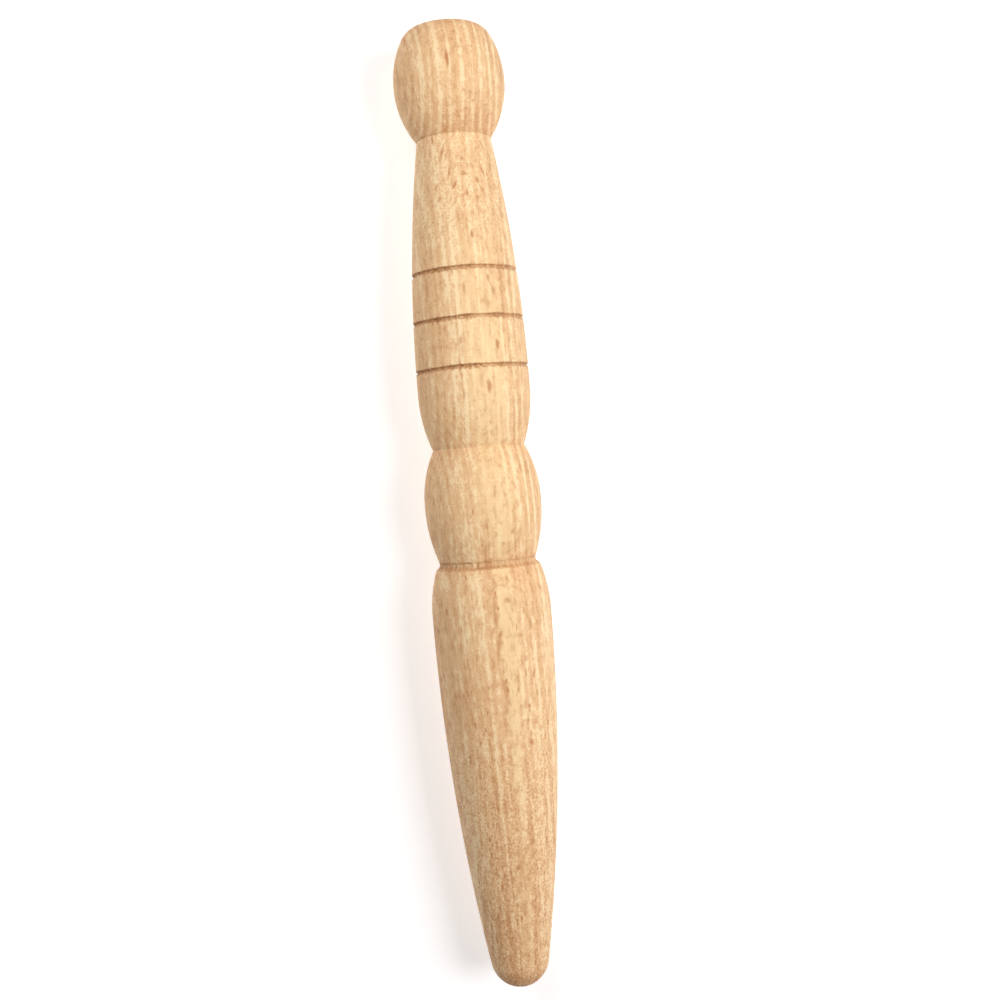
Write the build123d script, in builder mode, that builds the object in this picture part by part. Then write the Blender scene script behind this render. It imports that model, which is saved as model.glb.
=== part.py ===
"""Wooden massage stick: one piece of beech, turned on a lathe between centres.

The turning axis is X. The round head is at +X, the pointed end at -X, and the
origin is on the axis at half length. Stations are distances from the pointed end.
All dimensions are in millimetres.
"""

import os
from math import cos, radians, sin, sqrt

from build123d import *

# The whole stick
length = 180.0

# Head: a knob with barrel-like sides and a flattened, domed end
head_girth_station = 169.1
head_girth_radius = 10.4
head_dome_radius = 30.0
head_shoulder_radius = 7.45
head_edge_round = 1.8

# Neck: the sharp crease under the head
neck_station = 158.6
neck_radius = 6.95

# Upper barrel: one long arc that flares from the neck
barrel_middle_station = 135.0
barrel_middle_radius = 9.75
barrel_end_station = 112.0
barrel_end_radius = 10.55

# Upper waist: a plain V between two rounded shoulders
upper_shoulder_station = 106.9
upper_shoulder_radius = 10.14
upper_waist_station = 101.4
upper_waist_radius = 8.6

# Bulge between the two waists
bulge_upper_station = 95.6
bulge_upper_radius = 10.55
bulge_station = 91.3
bulge_radius = 10.95
bulge_lower_station = 86.4
bulge_lower_radius = 10.6

# Lower waist: a crease with a narrow band scored and burnt into its lower flank
lower_waist_station = 80.4
lower_waist_radius = 9.05
band_floor_station = 79.6
band_floor_radius = 9.15
band_lip_station = 79.1
band_lip_radius = 9.75

# Lower body: a rounded shoulder, then the long taper
lower_shoulder_station = 74.6
lower_shoulder_radius = 10.87
girth_station = 70.0
girth_radius = 11.15
taper_middle_station = 35.5
taper_middle_radius = 9.56

# Pointed end: a part of a ball that the taper meets in tangent
tip_radius = 5.55
taper_angle_at_tip = 9.9

# Three narrow rings scored round the upper barrel, each a shallow V
ring_stations = (133.7, 124.8, 115.9)
ring_width = 0.7
ring_depth = 0.4


def at(station, radius):
    """A point of the outline, from its distance from the pointed end and its radius."""
    return (station - length / 2, radius)


def dome_station(radius):
    """Where the head's domed end has this radius."""
    return length - head_dome_radius + sqrt(head_dome_radius**2 - radius**2)


def barrel_radius_at(station):
    """The upper barrel's radius at a station, from the circle that its arc lies on."""
    neck, middle, end = (
        Vector(*at(neck_station, neck_radius)),
        Vector(*at(barrel_middle_station, barrel_middle_radius)),
        Vector(*at(barrel_end_station, barrel_end_radius)),
    )
    arc = Edge.make_three_point_arc(neck, middle, end)
    centre = arc.arc_center
    offset_x = station - length / 2 - centre.X
    return centre.Y + sqrt(arc.radius**2 - offset_x**2)


tip_angle = radians(taper_angle_at_tip)
tip_end = at(0, 0)
tip_crown = at(tip_radius * (1 - cos(radians(45))), tip_radius * sin(radians(45)))
taper_start = at(tip_radius * (1 - sin(tip_angle)), tip_radius * cos(tip_angle))
taper_middle = at(taper_middle_station, taper_middle_radius)
girth = at(girth_station, girth_radius)
lower_shoulder = at(lower_shoulder_station, lower_shoulder_radius)
band_lip = at(band_lip_station, band_lip_radius)
band_floor = at(band_floor_station, band_floor_radius)
lower_waist = at(lower_waist_station, lower_waist_radius)
bulge_lower = at(bulge_lower_station, bulge_lower_radius)
bulge_top = at(bulge_station, bulge_radius)
bulge_upper = at(bulge_upper_station, bulge_upper_radius)
upper_waist = at(upper_waist_station, upper_waist_radius)
upper_shoulder = at(upper_shoulder_station, upper_shoulder_radius)
barrel_end = at(barrel_end_station, barrel_end_radius)
barrel_middle = at(barrel_middle_station, barrel_middle_radius)
neck = at(neck_station, neck_radius)
head_girth = at(head_girth_station, head_girth_radius)
head_shoulder = at(dome_station(head_shoulder_radius), head_shoulder_radius)
head_crown = at(dome_station(head_shoulder_radius / 2), head_shoulder_radius / 2)
head_end = at(length, 0)

os.makedirs("parts", exist_ok=True)

with BuildPart() as massage_stick:
    with BuildSketch(Plane.XY) as half_section:
        with BuildLine():
            ThreePointArc(tip_end, tip_crown, taper_start)
            ThreePointArc(taper_start, taper_middle, girth)
            ThreePointArc(girth, lower_shoulder, band_lip)
            Polyline(band_lip, band_floor, lower_waist)
            ThreePointArc(lower_waist, bulge_lower, bulge_top)
            ThreePointArc(bulge_top, bulge_upper, upper_waist)
            ThreePointArc(upper_waist, upper_shoulder, barrel_end)
            ThreePointArc(barrel_end, barrel_middle, neck)
            ThreePointArc(neck, head_girth, head_shoulder)
            ThreePointArc(head_shoulder, head_crown, head_end)
            Line(head_end, tip_end)
        make_face()
        head_edge = half_section.vertices().sort_by_distance((*head_shoulder, 0))[0]
        fillet(head_edge, radius=head_edge_round)
    revolve(axis=Axis.X)

    # Each scored ring is a V cut into the barrel, from just outside its surface
    with BuildSketch(Plane.XY):
        for station in ring_stations:
            surface = barrel_radius_at(station)
            with BuildLine():
                Polyline(
                    at(station - ring_width / 2, surface),
                    at(station, surface - ring_depth),
                    at(station + ring_width / 2, surface),
                    at(station + ring_width / 2, surface + ring_depth),
                    at(station - ring_width / 2, surface + ring_depth),
                    close=True,
                )
            make_face()
    revolve(axis=Axis.X, mode=Mode.SUBTRACT)

massage_stick.part.label = "massage_stick"
export_step(massage_stick.part, "parts/massage_stick.step")
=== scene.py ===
"""Looks of the wooden massage stick: one piece of sanded beech turned on a lathe.

The stick lies along X on a white floor, with its head at +X. The camera looks down
on it, so that the head is at the top of the picture and -Y is on the right.
Lengths are in millimetres where a name says so, and in metres otherwise.
"""

from math import cos, pi, radians, sin

import bpy
import numpy as np
from mathutils import Matrix, Vector


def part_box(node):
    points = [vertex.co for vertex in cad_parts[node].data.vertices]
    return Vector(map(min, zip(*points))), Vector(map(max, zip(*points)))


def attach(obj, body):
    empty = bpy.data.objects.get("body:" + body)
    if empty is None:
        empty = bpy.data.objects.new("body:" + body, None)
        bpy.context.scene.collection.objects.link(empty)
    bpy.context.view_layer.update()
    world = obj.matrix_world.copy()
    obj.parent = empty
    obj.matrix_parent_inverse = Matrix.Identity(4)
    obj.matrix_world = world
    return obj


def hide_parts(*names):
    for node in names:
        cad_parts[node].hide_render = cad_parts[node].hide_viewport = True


MM = 0.001
NODE = "massage_stick"

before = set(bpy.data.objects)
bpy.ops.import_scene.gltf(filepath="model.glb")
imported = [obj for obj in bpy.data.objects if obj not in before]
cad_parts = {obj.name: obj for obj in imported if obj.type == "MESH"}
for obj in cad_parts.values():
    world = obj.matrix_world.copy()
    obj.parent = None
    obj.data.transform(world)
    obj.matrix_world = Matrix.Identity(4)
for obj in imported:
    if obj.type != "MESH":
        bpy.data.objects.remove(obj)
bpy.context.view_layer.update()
lowest, highest = (Vector(corner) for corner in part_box(NODE))
length_mm = (highest.x - lowest.x) / MM

# The turned outline, as in the CAD: (distance from the pointed end, radius), in mm
tip_radius_mm = 5.55
taper_angle_at_tip = np.radians(9.9)
taper_middle = (35.5, 9.56)
girth = (70.0, 11.15)
lower_shoulder = (74.6, 10.87)
band_lip = (79.1, 9.75)
band_floor = (79.6, 9.15)
lower_waist = (80.4, 9.05)
bulge_lower = (86.4, 10.6)
bulge_top = (91.3, 10.95)
bulge_upper = (95.6, 10.55)
upper_waist = (101.4, 8.6)
upper_shoulder = (106.9, 10.14)
barrel_end = (112.0, 10.55)
barrel_middle = (135.0, 9.75)
neck = (158.6, 6.95)
head_girth = (169.1, 10.4)
head_shoulder_radius_mm = 7.45
head_dome_radius_mm = 30.0
ring_stations_mm = (133.7, 124.8, 115.9)
ring_depth_mm = 0.42
ring_half_width_mm = 0.42
head_edge_round_mm = 1.7

# How finely the mesh is cut, and how far on each side of a narrow cut it stays fine
around = 188
coarse_step_mm = 0.5
fine_step_mm = 0.1
band_middle_mm = 79.8
narrow_cuts = [(station, 0.9) for station in ring_stations_mm]
narrow_cuts += [(neck[0], 0.8), (upper_waist[0], 0.7), (band_middle_mm, 1.5)]

# How deep the surface's unevenness goes, in mm: it takes wood off, and never adds any
inset_mm = 0.012
tool_ripple_mm = 0.012
hand_sanding_mm = 0.03
fine_sanding_mm = 0.010
torn_grain_mm = 0.12

# Creases, each a fine brown line of painted shade, darker on the picture's left, and at the lower
# waist also the scored line's burn: place, reach in mm, darkness
crease_burn_and_shade = (
    (neck[0], 0.2, 0.42),
    (upper_waist[0], 0.2, 0.28),
    (lower_waist[0], 0.3, 0.80),
)


# ---------------------------------------------------------------- outline

def arc(start, middle, end, count=160):
    """Points from start to end on the circle through the three points."""
    (ax, ay), (bx, by), (cx, cy) = start, middle, end
    double = 2 * (ax * (by - cy) + bx * (cy - ay) + cx * (ay - by))
    squares = [x * x + y * y for x, y in (start, middle, end)]
    centre = np.array(
        [
            (squares[0] * (by - cy) + squares[1] * (cy - ay) + squares[2] * (ay - by)) / double,
            (squares[0] * (cx - bx) + squares[1] * (ax - cx) + squares[2] * (bx - ax)) / double,
        ]
    )
    radius = np.hypot(*(np.array(start) - centre))
    turns = [np.arctan2(*(np.array(point) - centre)[::-1]) for point in (start, middle, end)]
    turns = np.unwrap(turns)
    swept = np.linspace(turns[0], turns[2], count)
    return centre + radius * np.stack([np.cos(swept), np.sin(swept)], 1)


def rounded_corner(before, after, reach):
    """Two runs of points with the corner between them eased by a quadratic curve."""
    start = before[np.hypot(*(before - before[-1]).T) > reach]
    end = after[np.hypot(*(after - after[0]).T) > reach]
    t = np.linspace(0, 1, 24)[1:-1, None]
    ease = (1 - t) ** 2 * start[-1] + 2 * t * (1 - t) * before[-1] + t**2 * end[0]
    return np.concatenate([start, ease, end])


def outline():
    """The whole outline from the pointed end to the head's end, finely sampled, in mm."""
    sine, cosine = np.sin(taper_angle_at_tip), np.cos(taper_angle_at_tip)
    taper_start = (tip_radius_mm * (1 - sine), tip_radius_mm * cosine)
    half = np.radians(45)
    tip_crown = (tip_radius_mm * (1 - np.cos(half)), tip_radius_mm * np.sin(half))

    def dome(radius):
        sagitta = head_dome_radius_mm - np.sqrt(head_dome_radius_mm**2 - radius**2)
        return (length_mm - sagitta, radius)

    head_shoulder = dome(head_shoulder_radius_mm)
    sides = arc(neck, head_girth, head_shoulder)
    end = arc(head_shoulder, dome(head_shoulder_radius_mm / 2), dome(0.0))
    runs = [
        arc((0.0, 0.0), tip_crown, taper_start),
        arc(taper_start, taper_middle, girth),
        arc(girth, lower_shoulder, band_lip),
        np.array([band_lip, band_floor, lower_waist]),
        arc(lower_waist, bulge_lower, bulge_top),
        arc(bulge_top, bulge_upper, upper_waist),
        arc(upper_waist, upper_shoulder, barrel_end),
        arc(barrel_end, barrel_middle, neck),
        rounded_corner(sides, end, head_edge_round_mm),
    ]
    return np.concatenate([runs[0]] + [run[1:] for run in runs[1:]])


def resample(points):
    """Even steps along the outline, finer where something narrow is cut."""
    travelled = np.concatenate([[0], np.cumsum(np.hypot(*np.diff(points, axis=0).T))])
    place, places = 0.0, [0.0]
    while place < travelled[-1]:
        station = np.interp(place, travelled, points[:, 0])
        near = min(abs(station - middle) / reach for middle, reach in narrow_cuts)
        blend = np.clip(near - 1.0, 0.0, 1.0)
        place += fine_step_mm + (coarse_step_mm - fine_step_mm) * blend
        places.append(place)
    places = np.array(places) * travelled[-1] / places[-1]
    return np.stack([np.interp(places, travelled, points[:, i]) for i in (0, 1)], 1)


# ---------------------------------------------------------------- mesh

def ripples(angle, station, seed, turns, per_mm, waves=7):
    """Smooth seeded noise from -1 to 1 that closes on itself around the stick."""
    random = np.random.default_rng(seed)
    total = np.zeros(np.broadcast(angle, station).shape)
    for _ in range(waves):
        count = random.integers(max(1, int(turns * 0.55)), int(turns * 1.45) + 2)
        lean = random.normal(0, per_mm)
        total += np.cos(count * angle + lean * station + random.uniform(0, 2 * np.pi))
    return total / np.sqrt(waves * 2.0)


def smooth(value, low, high):
    """0 below low, 1 above high and smooth between; low may be the larger."""
    t = np.clip((value - low) / (high - low), 0, 1)
    return t * t * (3 - 2 * t)


def turned_surface():
    """Places of all vertices with one mask of burn and painted shade that the material reads."""
    cut = resample(outline())[1:-1]
    station = cut[:, 0][:, None]
    radius = cut[:, 1][:, None]
    angle = np.linspace(0, 2 * np.pi, around, endpoint=False)[None, :]
    depth = np.zeros((len(cut), around))
    burnt = np.zeros_like(depth)

    # Scored rings: a V that wanders a little. Its upper side is burnt in dots and darkened more
    # with painted shade, as on a wall that faces away from the light, and its lower side is only
    # browned, with a scalloped edge. Painted shade makes them darker on the picture's left and
    # fainter on its right.
    for i, ring in enumerate(ring_stations_mm):
        wander = 0.07 * ripples(angle, 0.0, 10 + i, 3, 0)
        scallop = ripples(angle, 0.0, 20 + i, 62, 0)
        coarse = ripples(angle, 0.0, 30 + i, 9, 0)
        width = ring_half_width_mm * (1 + 0.20 * scallop + 0.16 * coarse)
        offset = station - ring - wander
        side = np.where(offset < 0, width * (1.05 + 0.42 * scallop), width * 0.9)
        across = np.abs(offset) / side
        depth += ring_depth_mm * (0.9 + 0.15 * coarse) * np.clip(1 - across, 0, 1) ** 0.8
        dots = ripples(angle, 0.0, 60 + i, 46, 0)
        # The cosine term is painted shade, darker on the picture's left (+Y)
        strength = 0.72 + 0.06 * i + 0.20 * np.cos(angle) + 0.10 * coarse
        upper = smooth(offset, -0.25, 0.05)
        below_it = 0.70 + 0.20 * scallop
        above_it = 1.08 + 0.30 * dots
        strength = strength * (below_it + (above_it - below_it) * upper)
        burnt = np.maximum(burnt, smooth(across, 1.25, 0.72) * np.clip(strength, 0, 1))

    # Lower waist: a blotchy band scored into its lower flank, with torn grain along its lower edge
    torn = ripples(angle, 0.0, 41, 55, 0)
    slow = ripples(angle, 0.0, 42, 8, 0)
    band_top = lower_waist[0] - 0.1 + 0.05 * torn
    band_foot = band_lip[0] - 0.05 + 0.22 * torn + 0.12 * slow
    inside = smooth(station, band_foot - 0.18, band_foot + 0.12)
    inside = inside * smooth(station, band_top + 0.1, band_top - 0.1)
    # The cosine term is painted shade, darker on the picture's left (+Y)
    scorch_and_shade = 0.42 + 0.14 * np.cos(angle) + 0.26 * torn + 0.20 * slow
    burnt = np.maximum(burnt, inside * np.clip(scorch_and_shade, 0, 0.9))
    depth += torn_grain_mm * inside * np.clip(0.5 + 0.5 * torn, 0, 1)

    # Painted shade in each crease, darker on the picture's left (+Y)
    for place, reach, shade in crease_burn_and_shade:
        uneven = np.clip(0.8 + 0.35 * ripples(angle, 0.0, int(place), 14, 0), 0, 1)
        line = smooth(np.abs(station - place), reach, 0.02)
        burnt = np.maximum(burnt, line * shade * uneven * (1 + 0.35 * np.cos(angle)))

    # Tool ripple, and a hand-sanded surface that is never quite round
    tool = tool_ripple_mm * (1 + np.sin(station * 4.1 + 0.8 * np.sin(station * 0.37)))
    sanded = hand_sanding_mm * (1 + ripples(angle, station, 51, 4, 0.05))
    fine = fine_sanding_mm * (1 + ripples(angle, station, 52, 26, 0.5))
    edge = np.clip(radius / 5.0, 0, 1)
    depth += (inset_mm + tool + np.clip(sanded, 0, None) + np.clip(fine, 0, None)) * edge

    final = np.maximum(radius - depth, 0.02)
    places = np.stack(
        [
            np.broadcast_to(station - length_mm / 2, final.shape),
            final * np.cos(angle),
            final * np.sin(angle),
        ],
        -1,
    )
    return places * MM, burnt


def build_stick():
    """The stick's mesh: rings of quads, closed by a fan at each end."""
    places, burnt = turned_surface()
    rings = len(places)
    vertices = places.reshape(-1, 3).tolist()
    vertices += [(lowest.x, 0.0, 0.0), (highest.x, 0.0, 0.0)]
    tip, crown = rings * around, rings * around + 1
    faces = []
    for ring in range(rings - 1):
        for i in range(around):
            j = (i + 1) % around
            here, there = ring * around, (ring + 1) * around
            faces.append((here + i, here + j, there + j, there + i))
    last = (rings - 1) * around
    for i in range(around):
        j = (i + 1) % around
        faces.append((tip, j, i))
        faces.append((crown, last + i, last + j))
    mesh = bpy.data.meshes.new("turned_stick")
    mesh.from_pydata(vertices, [], faces)
    mesh.attributes.new("burnt", "FLOAT", "POINT")
    masks = np.concatenate([burnt.ravel(), [0.0, 0.0]]).astype(np.float32)
    mesh.attributes["burnt"].data.foreach_set("value", masks)
    mesh.polygons.foreach_set("use_smooth", [True] * len(mesh.polygons))
    mesh.update()
    mesh.validate()
    stick = bpy.data.objects.new("turned_stick", mesh)
    bpy.context.scene.collection.objects.link(stick)
    return stick


# ---------------------------------------------------------------- materials

class Tree:
    """Short calls that add and link the nodes of one material."""

    def __init__(self, name):
        self.material = bpy.data.materials.new(name)
        self.material.use_nodes = True
        self.nodes = self.material.node_tree.nodes
        self.links = self.material.node_tree.links
        self.shader = self.nodes["Principled BSDF"]

    def feed(self, socket, value):
        if isinstance(value, bpy.types.NodeSocket):
            self.links.new(value, socket)
        elif value is not None:
            socket.default_value = value

    def math(self, operation, a, b=None, clamp=False):
        node = self.nodes.new("ShaderNodeMath")
        node.operation = operation
        node.use_clamp = clamp
        self.feed(node.inputs[0], a)
        self.feed(node.inputs[1], b)
        return node.outputs[0]

    def vector(self, operation, a, b=None):
        node = self.nodes.new("ShaderNodeVectorMath")
        node.operation = operation
        self.feed(node.inputs[0], a)
        self.feed(node.inputs[1], b)
        return node.outputs[1 if operation == "LENGTH" else 0]

    def combine(self, x, y, z):
        node = self.nodes.new("ShaderNodeCombineXYZ")
        for socket, value in zip(node.inputs, (x, y, z)):
            self.feed(socket, value)
        return node.outputs[0]

    def separate(self, vector):
        node = self.nodes.new("ShaderNodeSeparateXYZ")
        self.feed(node.inputs[0], vector)
        return node.outputs

    def noise(self, vector, detail, roughness=0.5, output="Fac"):
        node = self.nodes.new("ShaderNodeTexNoise")
        node.inputs["Scale"].default_value = 1.0
        node.inputs["Detail"].default_value = detail
        node.inputs["Roughness"].default_value = roughness
        self.feed(node.inputs["Vector"], vector)
        return node.outputs[output]

    def cells(self, vector):
        node = self.nodes.new("ShaderNodeTexVoronoi")
        node.inputs["Scale"].default_value = 1.0
        node.inputs["Randomness"].default_value = 1.0
        self.feed(node.inputs["Vector"], vector)
        return node.outputs["Distance"], node.outputs["Color"]

    def band(self, value, low, high, to_low=0.0, to_high=1.0):
        """Smooth step from to_low at low to to_high at high."""
        node = self.nodes.new("ShaderNodeMapRange")
        node.interpolation_type = "SMOOTHSTEP"
        self.feed(node.inputs[0], value)
        for socket, number in zip(node.inputs[1:5], (low, high, to_low, to_high)):
            socket.default_value = number
        return node.outputs[0]

    def mix(self, factor, a, b, blend="MIX"):
        node = self.nodes.new("ShaderNodeMix")
        node.data_type = "RGBA"
        node.blend_type = blend
        self.feed(node.inputs[0], factor)
        for socket, value in ((node.inputs[6], a), (node.inputs[7], b)):
            self.feed(socket, (*value, 1.0) if isinstance(value, tuple) else value)
        return node.outputs[2]

    def bump(self, height, strength, distance):
        node = self.nodes.new("ShaderNodeBump")
        node.inputs["Strength"].default_value = strength
        node.inputs["Distance"].default_value = distance
        self.feed(node.inputs["Height"], height)
        return node.outputs[0]


# Beech, in linear colour: the common tone, how far it darkens and lightens, and its marks
mid_tone = (0.840, 0.545, 0.288)
dark_tone = (0.670, 0.380, 0.180)
light_tone = (0.985, 0.765, 0.460)
# Painted highlight colour
painted_highlight_tone = (1.000, 0.775, 0.430)
fleck_tone = (0.490, 0.180, 0.055)
# Burnt brown, also used for painted shade in the creases and on the picture's left
burnt_tone = (0.360, 0.162, 0.062)

# Tints that multiply the colour: on open fibre ends, and on the pointed end, where it is partly
# painted shade
end_grain_tint = (0.95, 0.86, 0.81)
worn_and_shade_tint = (0.975, 0.94, 0.935)

# The growth rings are near-flat sheets on edge, and the rays are sheets across them that face
# the camera, a little to its right. Below the barrel the grain leans slowly across the stick.
grain_turn = radians(15.0)
grain_lean = 0.032
lean_start_mm = 15.0

# Light streaks, one for each year: distance across the rings in mm, and strength
light_streaks = (
    (-9.0, 0.6),
    (-7.9, 0.5),
    (-6.9, 0.6),
    (-5.6, 0.7),
    (-4.0, 1.0),
    (-2.2, 0.6),
    (-0.1, 0.6),
    (1.8, 0.7),
    (3.6, 0.9),
    (5.6, 0.8),
    (7.1, 0.7),
    (8.8, 0.6),
)

# Single dark flecks: distance from the pointed end, degrees from the top, length, width,
# darkness, and the degrees that the end towards the head leans to +Y
fleck_sink_mm = 0.05
flecks = (
    (171.0, 0.5, 4.4, 0.80, 0.80, 4),
    (174.2, 17.0, 1.6, 0.60, 0.40, 0),
    (157.4, -32.5, 2.0, 0.55, 0.65, 15),
    (156.4, 44.5, 2.0, 0.60, 0.55, 15),
    (155.0, -17.0, 3.7, 0.55, 0.60, -12),
    (153.6, 10.0, 1.3, 1.10, 0.55, 0),
    (151.3, -8.5, 2.9, 0.55, 0.60, -11),
    (151.2, 37.5, 3.1, 0.55, 0.60, 12),
    (150.9, 10.5, 1.1, 1.45, 0.65, -20),
    (149.5, 27.5, 1.5, 0.65, 0.70, 25),
    (147.7, 33.0, 3.5, 0.70, 0.38, 25),
    (148.7, -2.5, 2.4, 0.70, 0.70, -35),
    (148.6, -26.5, 2.0, 0.55, 0.55, -8),
    (147.1, 12.0, 1.4, 0.70, 0.70, 0),
    (146.9, 8.0, 1.8, 0.60, 0.38, -45),
    (146.2, 25.0, 1.2, 0.90, 0.50, 15),
    (146.4, -23.0, 1.8, 0.50, 0.50, -15),
    (145.6, -4.0, 2.9, 0.60, 0.32, -30),
    (139.7, 13.0, 2.1, 0.80, 0.75, 0),
    (131.5, 26.0, 1.8, 0.85, 0.60, 0),
    (129.4, 30.0, 2.2, 0.70, 0.45, 0),
    (130.0, -1.0, 2.2, 0.75, 0.50, 0),
    (119.5, 29.0, 2.4, 1.10, 0.75, 0),
    (120.6, -8.0, 2.2, 0.75, 0.50, 0),
    (122.8, -24.0, 2.0, 0.60, 0.45, 0),
    (112.0, 16.4, 3.2, 0.95, 0.70, 0),
    (110.9, -9.0, 2.2, 0.70, 0.45, 0),
    (76.1, 13.0, 0.8, 2.40, 0.30, 0),
    (75.5, 3.5, 1.8, 0.45, 0.42, -40),
    (75.6, 24.5, 1.6, 0.50, 0.38, 40),
    (73.4, 16.5, 1.3, 1.50, 0.58, -20),
    (72.1, 6.5, 0.9, 0.50, 0.70, 0),
    (71.2, 32.0, 1.5, 0.60, 0.38, 10),
    (68.6, 38.5, 2.6, 1.00, 0.62, 0),
    (68.2, 1.0, 1.8, 0.50, 0.40, -10),
    (68.6, -30.5, 2.8, 0.40, 0.45, 0),
    (68.3, -10.0, 2.6, 0.40, 0.42, 0),
    (67.4, 7.0, 1.9, 0.85, 0.68, -10),
    (66.9, 25.5, 1.2, 1.60, 0.28, 0),
    (66.9, 15.0, 0.9, 2.00, 0.22, 0),
    (63.4, -17.0, 1.8, 0.50, 0.48, 0),
    (62.6, 30.5, 1.6, 0.80, 0.42, 0),
    (59.9, 29.5, 1.9, 0.50, 0.62, 0),
    (59.5, 38.0, 1.7, 0.65, 0.75, 0),
    (57.3, 10.0, 1.7, 0.60, 0.60, 0),
    (57.1, 20.5, 1.5, 0.60, 0.55, 0),
    (57.9, -8.0, 1.0, 0.50, 0.42, 0),
    (53.8, 31.0, 1.4, 0.50, 0.72, 0),
    (52.9, 30.5, 1.2, 0.50, 0.55, 0),
    (51.3, 28.5, 1.2, 0.60, 0.48, 0),
    (48.8, 31.5, 1.5, 0.50, 0.55, 0),
    (47.2, 31.5, 1.6, 0.80, 0.72, 0),
    (42.0, -27.0, 2.0, 0.45, 0.40, 0),
    (24.5, 8.0, 1.2, 0.70, 0.70, 0),
    (21.0, -15.0, 2.2, 0.50, 0.70, 0),
    (14.6, 8.0, 1.6, 0.50, 0.65, 0),
    (13.0, -44.0, 2.6, 0.50, 0.80, 0),
    (12.6, 46.0, 2.0, 0.45, 0.60, 0),
    (10.4, -38.0, 2.0, 0.50, 0.70, 0),
    (7.0, -30.0, 2.0, 0.45, 0.70, 0),
    (3.2, -20.0, 1.6, 0.45, 0.65, 0),
)


def grain_axes(t, place):
    """Distances across the growth rings and across the rays, in mm, both bent by slow waves."""
    wave = t.noise(t.vector("MULTIPLY", place, (0.022, 0.09, 0.09)), 3.0, output="Color")
    wave = t.vector("MULTIPLY", t.vector("SUBTRACT", wave, (0.5, 0.5, 0.5)), (0.0, 0.8, 0.8))
    x, y, z = t.separate(t.vector("ADD", place, wave))
    sine, cosine = sin(grain_turn), cos(grain_turn)
    rings = t.math("SUBTRACT", t.math("MULTIPLY", y, -cosine), t.math("MULTIPLY", z, sine))
    below = t.math("MINIMUM", t.math("SUBTRACT", x, lean_start_mm), 0.0)
    rings = t.math("ADD", rings, t.math("MULTIPLY", below, grain_lean))
    rays = t.math("SUBTRACT", t.math("MULTIPLY", z, cosine), t.math("MULTIPLY", y, sine))
    return rings, rays


def wood_tone(t, place, rings, rays, frayed):
    """How light the wood is, from 0 to 1, with the ray marks, the fibres and the fuzz.

    Here and in beech(), x is in mm from the stick's middle: the neck is at 68.6, the lower
    waist at -9.6 and the pointed end at -90.
    """
    x = t.separate(place)[0]

    def sheets(across, across_scale, x_scale, aside, aside_scale, detail):
        scales = ((across, across_scale), (x, x_scale), (aside, aside_scale))
        scaled = [t.math("MULTIPLY", value, scale) for value, scale in scales]
        return t.noise(t.combine(*scaled), detail, 0.55)

    years = sheets(rings, 0.45, 0.015, rays, 0.05, 1.0)
    streaks = sheets(rings, 1.15, 0.040, rays, 0.12, 1.5)
    lines = sheets(rings, 2.0, 0.100, rays, 0.30, 0.8)
    ray_sheets = sheets(rays, 3.8, 0.55, rings, 1.00, 1.0)
    fibre = t.noise(t.vector("MULTIPLY", place, (0.50, 0.95, 0.95)), 1.6)
    fuzz = t.noise(t.vector("MULTIPLY", place, (2.4, 2.6, 2.6)), 1.0, 0.6)

    # A narrow light line in each year, uneven along its length
    uneven = t.band(sheets(rings, 0.7, 0.07, rays, 0.20, 2.0), 0.28, 0.55, 0.5, 1.0)
    light = None
    for across, strength in light_streaks:
        near = t.math("ABSOLUTE", t.math("SUBTRACT", rings, across))
        line = t.math("MULTIPLY", t.band(near, 0.56, 0.10), strength)
        light = line if light is None else t.math("MAXIMUM", light, line)

    # The lines show most on the head, less on the barrel and least on the neck and the lower body
    shown = t.math("ADD", t.band(x, 34.0, 52.0, 0.46, 0.16), t.band(x, 67.0, 70.0, 0.0, 0.48))
    shown = t.math("MULTIPLY", shown, t.band(x, -14.0, 4.0, 0.44, 1.0))
    common = t.math("ADD", t.band(x, 38.0, 52.0, 0.38, 0.50), t.band(x, 67.0, 70.0, 0.0, -0.14))
    common = t.math("ADD", common, t.band(x, -14.0, 4.0, 0.075, 0.0))
    light = t.math("MULTIPLY", t.math("MULTIPLY", light, uneven), t.band(x, -80.0, -55.0, 0.6, 1.0))
    tone = t.math("ADD", common, t.math("MULTIPLY", light, shown))

    # One pale year runs up the barrel, the neck and the head, on the picture's left
    pale = t.band(t.math("ABSOLUTE", t.math("ADD", rings, 4.4)), 2.9, 1.0)
    pale = t.math("MULTIPLY", pale, t.band(x, 40.0, 54.0, 1.0, 0.6))
    tone = t.math("ADD", tone, t.math("MULTIPLY", pale, t.band(x, 6.0, 20.0, 0.0, 0.24)))
    for noise, weight in (
        (years, t.band(x, 5.0, -20.0, 0.6, 1.1)),
        (streaks, t.band(x, 5.0, -20.0, 0.95, 1.18)),
        (lines, t.band(x, 5.0, -20.0, 0.75, 0.9)),
        (ray_sheets, 0.38),
        (fibre, t.band(x, 5.0, -20.0, 0.95, 1.12)),
        (fuzz, t.band(frayed, 0.0, 1.0, 0.8, 2.1)),
    ):
        tone = t.math("ADD", tone, t.math("MULTIPLY", t.math("SUBTRACT", noise, 0.5), weight))
    ray_marks = t.band(ray_sheets, 0.42, 0.26)
    return t.math("MINIMUM", t.math("MAXIMUM", tone, 0.0), 1.0), ray_marks, fibre, fuzz


def dashes(t, place, length, width, share, channel):
    """Scattered lens-shaped dashes along the grain, in a share of even cells."""
    scaled = t.vector("MULTIPLY", place, (0.5 / length, 0.5 / width, 0.5 / width))
    distance, cell = t.cells(scaled)
    picked = t.band(t.separate(cell)[channel], 1.0 - share, 1.04 - share)
    return t.math("MULTIPLY", t.band(distance, 0.30, 0.12), picked)


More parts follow.
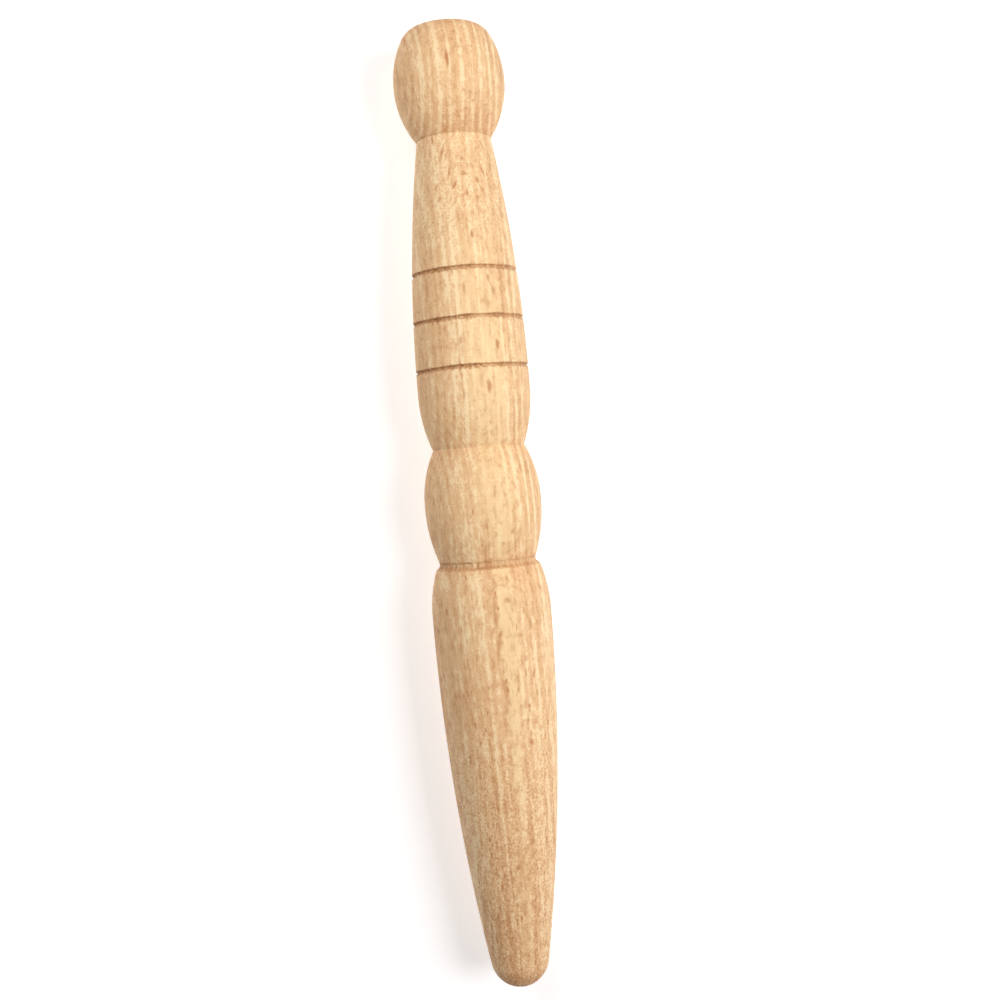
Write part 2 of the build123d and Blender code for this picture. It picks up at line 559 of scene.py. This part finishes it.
def single_flecks(t, place, wander):
    """The stick's own distinct dark flecks, each a soft-edged lens along the grain."""
    bent = t.vector("ADD", place, t.vector("MULTIPLY", wander, (0.5, 0.5, 0.5)))
    stations, radii = outline().T
    marks = None
    for station, degrees, length, width, darkness, lean in flecks:
        turn = radians(degrees)
        radius = float(np.interp(station, stations, radii)) - fleck_sink_mm
        centre = (station - length_mm / 2, -radius * sin(turn), radius * cos(turn))
        if lean:
            leaning = t.nodes.new("ShaderNodeMapping")
            leaning.vector_type = "TEXTURE"
            along = Matrix.Rotation(turn, 3, "X") @ Matrix.Rotation(radians(lean), 3, "Z")
            leaning.inputs["Location"].default_value = centre
            leaning.inputs["Rotation"].default_value = along.to_euler("XYZ")
            leaning.inputs["Scale"].default_value = (length / 2, width / 2, 1.5)
            t.feed(leaning.inputs["Vector"], bent)
            near = leaning.outputs[0]
        else:
            near = t.vector("SUBTRACT", bent, centre)
            near = t.vector("MULTIPLY", near, (2 / length, 2 / width, 2 / width))
        mark = t.math("MULTIPLY", t.band(t.vector("LENGTH", near), 1.15, 0.35), darkness)
        marks = mark if marks is None else t.math("MAXIMUM", marks, mark)
    return marks


def beech():
    """Sanded raw beech, with light yearly streaks, ray flecks and dark dashes."""
    t = Tree("beech")
    coordinates = t.nodes.new("ShaderNodeTexCoord").outputs["Object"]
    place = t.vector("SCALE", coordinates)
    place.node.inputs["Scale"].default_value = 1 / MM
    x, y, z = t.separate(place)
    rings, rays = grain_axes(t, place)
    neck_fuzz = t.math("MULTIPLY", t.band(x, 40.0, 56.0, 0.0, 0.45), t.band(x, 70.0, 67.0))
    frayed = t.math("MAXIMUM", t.band(x, -28.0, -60.0), neck_fuzz)
    tone, ray_marks, fibre, fuzz = wood_tone(t, place, rings, rays, frayed)

    colour = t.mix(t.band(tone, 0.0, 0.5), dark_tone, mid_tone)
    colour = t.mix(t.band(tone, 0.5, 1.0), colour, light_tone)

    # Painted highlight on the side that faces the camera and the light, across the rays' broad
    # faces: broadly on the barrel, in a narrow strip further down
    facing = t.math("DIVIDE", rays, t.vector("LENGTH", t.combine(0.0, y, z)))
    broad_highlight = t.math("MULTIPLY", t.band(facing, 0.90, 1.0, 0.0, 0.54), t.band(x, 62.0, 28.0))
    broad_highlight = t.math("MULTIPLY", broad_highlight, t.band(x, -14.0, 4.0))
    ragged = t.math("ADD", facing, t.math("MULTIPLY", t.math("SUBTRACT", fibre, 0.5), 0.035))
    narrow_highlight = t.math("MULTIPLY", t.band(ragged, 0.981, 0.999, 0.0, 0.60), t.band(x, 4.0, -14.0))
    narrow_highlight = t.math("MULTIPLY", narrow_highlight, t.band(x, -80.0, -44.0, 0.35, 1.0))
    painted_highlight = t.math("MULTIPLY", t.math("ADD", broad_highlight, narrow_highlight), t.band(fibre, 0.32, 0.56, 0.72, 1.0))
    colour = t.mix(painted_highlight, colour, painted_highlight_tone)

    # Ray flecks and larger brown blots
    wander = t.noise(t.vector("MULTIPLY", place, (0.8, 1.6, 1.6)), 1.0, output="Color")
    wander = t.vector("SUBTRACT", wander, (0.5, 0.5, 0.5))
    bent = t.vector("ADD", place, t.vector("MULTIPLY", wander, (1.2, 0.5, 0.5)))
    short = dashes(t, bent, 1.50, 0.38, 0.36, 0)
    short = t.math("MULTIPLY", short, t.band(tone, 0.72, 0.42, 0.25, 1.0))
    blots = dashes(t, bent, 3.2, 0.80, 0.12, 1)
    short = t.math("MULTIPLY", short, t.band(x, 12.0, -12.0, 0.24, 0.72))
    marks = t.math("MAXIMUM", short, t.math("MULTIPLY", blots, 0.25))
    marks = t.math("MAXIMUM", marks, t.math("MULTIPLY", ray_marks, 0.26))

    # The pointed end is more open and has more dark dashes
    ends = t.math("MULTIPLY", dashes(t, bent, 1.0, 0.32, 0.42, 2), t.band(x, -40.0, -76.0))
    marks = t.math("MAXIMUM", marks, t.math("MULTIPLY", ends, 0.62))
    colour = t.mix(t.math("MAXIMUM", marks, single_flecks(t, place, wander)), colour, fleck_tone)

    # Where the surface cuts across the fibres, their open ends are redder and grainy
    normal = t.nodes.new("ShaderNodeNewGeometry").outputs["Normal"]
    end_grain = t.band(t.math("ABSOLUTE", t.separate(normal)[0]), 0.10, 0.75)
    colour = t.mix(end_grain, colour, end_grain_tint, "MULTIPLY")
    pores = t.noise(t.vector("MULTIPLY", place, (2.4, 2.0, 2.0)), 2.0, 0.7)
    pore_dark = t.math("MULTIPLY", t.band(pores, 0.52, 0.70), end_grain)
    colour = t.mix(t.math("MULTIPLY", pore_dark, 0.34), colour, fleck_tone)

    # Darker towards the pointed end: partly browned by handling, partly painted shade of the lower
    # body
    colour = t.mix(t.band(x, 10.0, -70.0), colour, worn_and_shade_tint, "MULTIPLY")

    # Sanding marks run across the grain
    sanding = t.noise(t.vector("MULTIPLY", place, (6.0, 0.45, 0.45)), 2.0, 0.6)
    colour = t.mix(t.band(sanding, 0.52, 0.74, 0.0, 0.22), colour, dark_tone)

    # Burnt rings and band, and the painted shade in the creases and on the picture's left, blotchy
    # where the wire skipped
    attribute = t.nodes.new("ShaderNodeAttribute")
    attribute.attribute_name = "burnt"
    blotch = t.noise(t.vector("MULTIPLY", place, (1.5, 1.5, 1.5)), 3.0)
    burnt = t.math("MULTIPLY", attribute.outputs["Fac"], t.band(blotch, 0.36, 0.60, 0.55, 1.0))
    colour = t.mix(burnt, colour, burnt_tone)
    t.feed(t.shader.inputs["Base Color"], colour)

    # Raw wood has a dull, uneven surface
    rough = t.band(fibre, 0.25, 0.75, 0.58, 0.74)
    rough = t.math("ADD", rough, t.math("MULTIPLY", burnt, 0.16), clamp=True)
    t.feed(t.shader.inputs["Roughness"], rough)
    t.shader.inputs["Specular IOR Level"].default_value = 0.32
    height = t.math("ADD", t.math("MULTIPLY", fibre, 0.5), t.math("MULTIPLY", sanding, 0.35))
    height = t.math("ADD", height, t.math("MULTIPLY", fuzz, t.band(frayed, 0.0, 1.0, 0.25, 0.8)))
    height = t.math("SUBTRACT", height, t.math("MULTIPLY", marks, 0.6))
    height = t.math("SUBTRACT", height, t.math("MULTIPLY", pore_dark, 0.5))
    t.feed(t.shader.inputs["Normal"], t.bump(height, 0.6, 0.00015))
    return t.material


def floor_material():
    """White paper on a light table, which glows a little."""
    t = Tree("floor_paper")
    t.shader.inputs["Base Color"].default_value = (0.89, 0.90, 0.91, 1.0)
    t.shader.inputs["Emission Color"].default_value = (0.99, 0.99, 1.0, 1.0)
    t.shader.inputs["Emission Strength"].default_value = 0.42
    t.shader.inputs["Roughness"].default_value = 0.9
    t.shader.inputs["Specular IOR Level"].default_value = 0.1
    return t.material


# ---------------------------------------------------------------- stage

def add_floor():
    """A wide white disc at the stick's lowest point."""
    radius, corners = 9.0, 96
    mesh = bpy.data.meshes.new("floor")
    turns = [2 * pi * i / corners for i in range(corners)]
    rim = [(radius * cos(turn), radius * sin(turn), lowest.z) for turn in turns]
    mesh.from_pydata(rim, [], [tuple(range(corners))])
    mesh.materials.append(floor_material())
    floor = bpy.data.objects.new("floor", mesh)
    bpy.context.scene.collection.objects.link(floor)


def add_softbox(name, place, aim, size, power, colour):
    light = bpy.data.lights.new(name, "AREA")
    light.shape = "RECTANGLE"
    light.size, light.size_y = size
    light.energy = power
    light.color = colour
    lamp = bpy.data.objects.new(name, light)
    lamp.location = place
    lamp.rotation_euler = (Vector(aim) - Vector(place)).to_track_quat("-Z", "Y").to_euler()
    bpy.context.scene.collection.objects.link(lamp)


def add_lights():
    """A softbox at the picture's right, one over the head, and faint white light all round."""
    world = bpy.data.worlds.new("studio")
    world.use_nodes = True
    background = world.node_tree.nodes["Background"]
    background.inputs["Color"].default_value = (1.0, 0.99, 0.98, 1.0)
    background.inputs["Strength"].default_value = 0.08
    bpy.context.scene.world = world
    centre = (0.0, 0.0, 0.0)
    add_softbox("key", (0.0, -0.27, 0.34), centre, (0.25, 0.25), 1.46, (1.0, 0.975, 0.965))
    add_softbox("head", (0.17, 0.11, 0.27), centre, (0.20, 0.20), 0.56, (1.0, 0.96, 0.94))


def add_camera():
    """Above the stick, leaning by the two small angles at which it was held."""
    lens_mm, sensor_mm = 50.0, 36.0
    distance, aside = 0.2598, 0.00322
    roll, tilt = radians(4.653), radians(0.933)
    aim = Vector((0.00153, 0.0, 0.0))
    forward = Vector((-sin(tilt), 0.0, -cos(tilt)))
    along = Vector((-cos(tilt), 0.0, sin(tilt)))
    across = along.cross(forward)
    right = cos(roll) * across + sin(roll) * along
    down = cos(roll) * along - sin(roll) * across
    place = aim + aside * right - distance * forward
    data = bpy.data.cameras.new("camera")
    data.lens = lens_mm
    data.sensor_width = sensor_mm
    data.clip_start = 0.01
    camera = bpy.data.objects.new("camera", data)
    turn = Matrix((right, -down, -forward)).transposed().to_4x4()
    camera.matrix_world = Matrix.Translation(place) @ turn
    bpy.context.scene.collection.objects.link(camera)
    bpy.context.scene.camera = camera


bpy.context.scene.view_settings.view_transform = "Standard"
stick = build_stick()
stick.data.materials.append(beech())
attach(stick, "root")
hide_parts(NODE)
add_floor()
add_lights()
add_camera()
